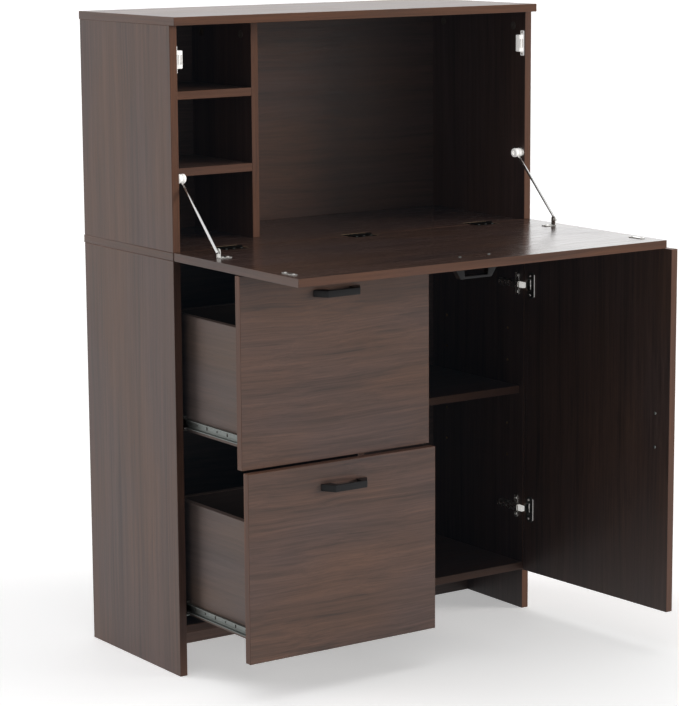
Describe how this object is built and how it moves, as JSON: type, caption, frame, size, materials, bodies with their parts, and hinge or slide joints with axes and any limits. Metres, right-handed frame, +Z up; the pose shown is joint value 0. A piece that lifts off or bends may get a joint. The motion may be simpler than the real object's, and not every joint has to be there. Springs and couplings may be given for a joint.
{
  "type": "secretary desk",
  "caption": "Upright secretary desk in walnut laminate: fold-down writing flap on sliding stays, cubby hutch, file drawers on ball slides and a hinged cupboard door.",
  "frame": {"origin": "on the floor, at the middle of the object's bounding box as it stands open", "axes": "+Z up, front of the cabinet towards -Y, +X to the right when facing the front"},
  "size_m": [0.8544, 0.7324, 1.2],
  "materials": {
    "walnut_carcass": "walnut-look melamine on particle board, satin, fine straight grain, lipped edges",
    "walnut_fronts": "walnut-look melamine, satin, horizontal wavy grain on the drawer fronts",
    "back_board": "thin printed hardboard, matt walnut grain",
    "drawer_board": "thin board with a matt wood-grain paper",
    "black_metal": "black powder coat, satin",
    "slide_steel": "zinc-plated rolled steel",
    "nickel": "nickel-plated pressed steel",
    "polished_rod": "bright plated round rod",
    "white_plastic": "white moulded plastic"
  },
  "bodies": {
    "root": {"base_side_left": "walnut_carcass", "base_side_right": "walnut_carcass", "base_divider": "walnut_carcass", "base_bottom": "walnut_carcass", "plinth_rail": "walnut_carcass", "adjustable_shelf": "walnut_carcass", "desk_panel": "walnut_carcass", "hutch_side_left": "walnut_carcass", "hutch_side_right": "walnut_carcass", "hutch_top": "walnut_carcass", "hutch_divider": "walnut_carcass", "hutch_shelf_lower": "walnut_carcass", "hutch_shelf_upper": "walnut_carcass", "base_back": "back_board", "hutch_back": "back_board", "flap_hinge_base_left": "black_metal", "flap_hinge_base_middle": "black_metal", "flap_hinge_base_right": "black_metal", "slide_upper_outer_left": "slide_steel", "slide_upper_outer_right": "slide_steel", "slide_lower_outer_left": "slide_steel", "slide_lower_outer_right": "slide_steel", "hinge_arm_upper": "nickel", "hinge_arm_lower": "nickel"},
    "flap": {"flap_panel": "walnut_carcass", "flap_handle": "black_metal", "flap_hinge_leaf_left": "black_metal", "flap_hinge_leaf_middle": "black_metal", "flap_hinge_leaf_right": "black_metal", "stay_bracket_left": "nickel", "stay_bracket_right": "nickel"},
    "door": {"door_panel": "walnut_fronts", "door_handle": "black_metal", "hinge_cup_upper": "nickel", "hinge_cup_lower": "nickel"},
    "drawer_upper": {"drawer_upper_front": "walnut_fronts", "drawer_upper_side_left": "drawer_board", "drawer_upper_side_right": "drawer_board", "drawer_upper_back": "drawer_board", "drawer_upper_bottom": "drawer_board", "drawer_upper_handle": "black_metal", "slide_upper_inner_left": "slide_steel", "slide_upper_inner_right": "slide_steel"},
    "drawer_lower": {"drawer_lower_front": "walnut_fronts", "drawer_lower_side_left": "drawer_board", "drawer_lower_side_right": "drawer_board", "drawer_lower_back": "drawer_board", "drawer_lower_bottom": "drawer_board", "drawer_lower_handle": "black_metal", "slide_lower_inner_left": "slide_steel", "slide_lower_inner_right": "slide_steel"},
    "hub_left": {"stay_hub_left": "white_plastic"},
    "hub_right": {"stay_hub_right": "white_plastic"},
    "rod_left": {"stay_rod_left": "polished_rod"},
    "rod_right": {"stay_rod_right": "polished_rod"}
  },
  "joints": [
    {"name": "flap_fold", "type": "hinge", "parent": "root", "child": "flap", "pos_m": [-0.021, 0.041, 0.7835], "axis": [-1, 0, 0], "range_deg": [0, 90]},
    {"name": "door_swing", "type": "hinge", "parent": "root", "child": "door", "pos_m": [0.377, 0.03, 0.423], "axis": [0, 0, 1], "range_deg": [-93, 12]},
    {"name": "drawer_upper_slide", "type": "slide", "parent": "root", "child": "drawer_upper", "axis": [0, -1, 0], "range_m": [-0.2, 0.025]},
    {"name": "drawer_lower_slide", "type": "slide", "parent": "root", "child": "drawer_lower", "axis": [0, -1, 0], "range_m": [-0.219, 0.006]},
    {"name": "hub_turn_left", "type": "hinge", "parent": "root", "child": "hub_left", "pos_m": [-0.402, 0.053, 0.913], "axis": [-1, 0, 0], "range_deg": [0, 17.05]},
    {"name": "rod_travel_left", "type": "slide", "parent": "hub_left", "child": "rod_left", "axis": [0, 0.7101, 0.7041], "range_m": [0, 0.16169]},
    {"name": "hub_turn_right", "type": "hinge", "parent": "root", "child": "hub_right", "pos_m": [0.36, 0.053, 0.913], "axis": [-1, 0, 0], "range_deg": [0, 17.05]},
    {"name": "rod_travel_right", "type": "slide", "parent": "hub_right", "child": "rod_right", "axis": [0, 0.7101, 0.7041], "range_m": [0, 0.16169]}
  ],
  "couplings": [
    {"joint": "hub_turn_left", "follows": "flap_fold", "ratio": 0.18889},
    {"joint": "rod_travel_left", "follows": "flap_fold", "m_per_rad": 0.10287},
    {"joint": "hub_turn_right", "follows": "flap_fold", "ratio": 0.18889},
    {"joint": "rod_travel_right", "follows": "flap_fold", "m_per_rad": 0.10287}
  ]
}
